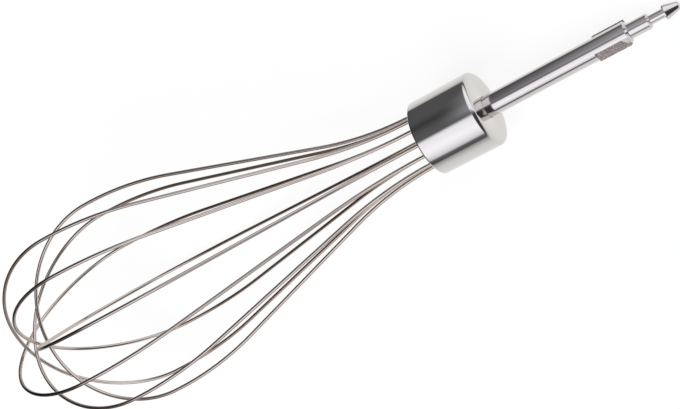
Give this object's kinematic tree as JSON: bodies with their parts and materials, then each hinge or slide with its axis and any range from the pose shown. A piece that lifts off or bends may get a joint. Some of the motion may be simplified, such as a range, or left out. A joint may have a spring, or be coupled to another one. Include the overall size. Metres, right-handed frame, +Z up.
{
  "type": "mixer balloon whisk",
  "caption": "Balloon whisk for an electric mixer: nested bent-wire loops set in a polished round hub, on a stepped drive shank with two opposed lugs and a blunt tapered retaining head",
  "frame": {"origin": "on the table under the middle of the whisk's box, as it lies at rest", "axes": "+X along the whisk on the table towards the shank's head, +Y across it, +Z up; the axis of the whisk dips towards the shank's head, which touches the table together with two strands of the cage"},
  "size_m": [0.2524, 0.0688, 0.0699],
  "materials": {
    "shank_steel": "bright turned bar, matte on the flanks of the lugs",
    "hub_steel": "mirror polished",
    "core_plastic": "moulded, matte",
    "wire_steel": "bright drawn wire"
  },
  "bodies": {
    "root": {"drive_shank": "shank_steel", "hub_shell": "hub_steel", "hub_core": "core_plastic", "wire_loop_1": "wire_steel", "wire_loop_2": "wire_steel", "wire_loop_3": "wire_steel", "wire_loop_4": "wire_steel", "wire_loop_5": "wire_steel", "wire_loop_6": "wire_steel"}
  },
  "joints": []
}
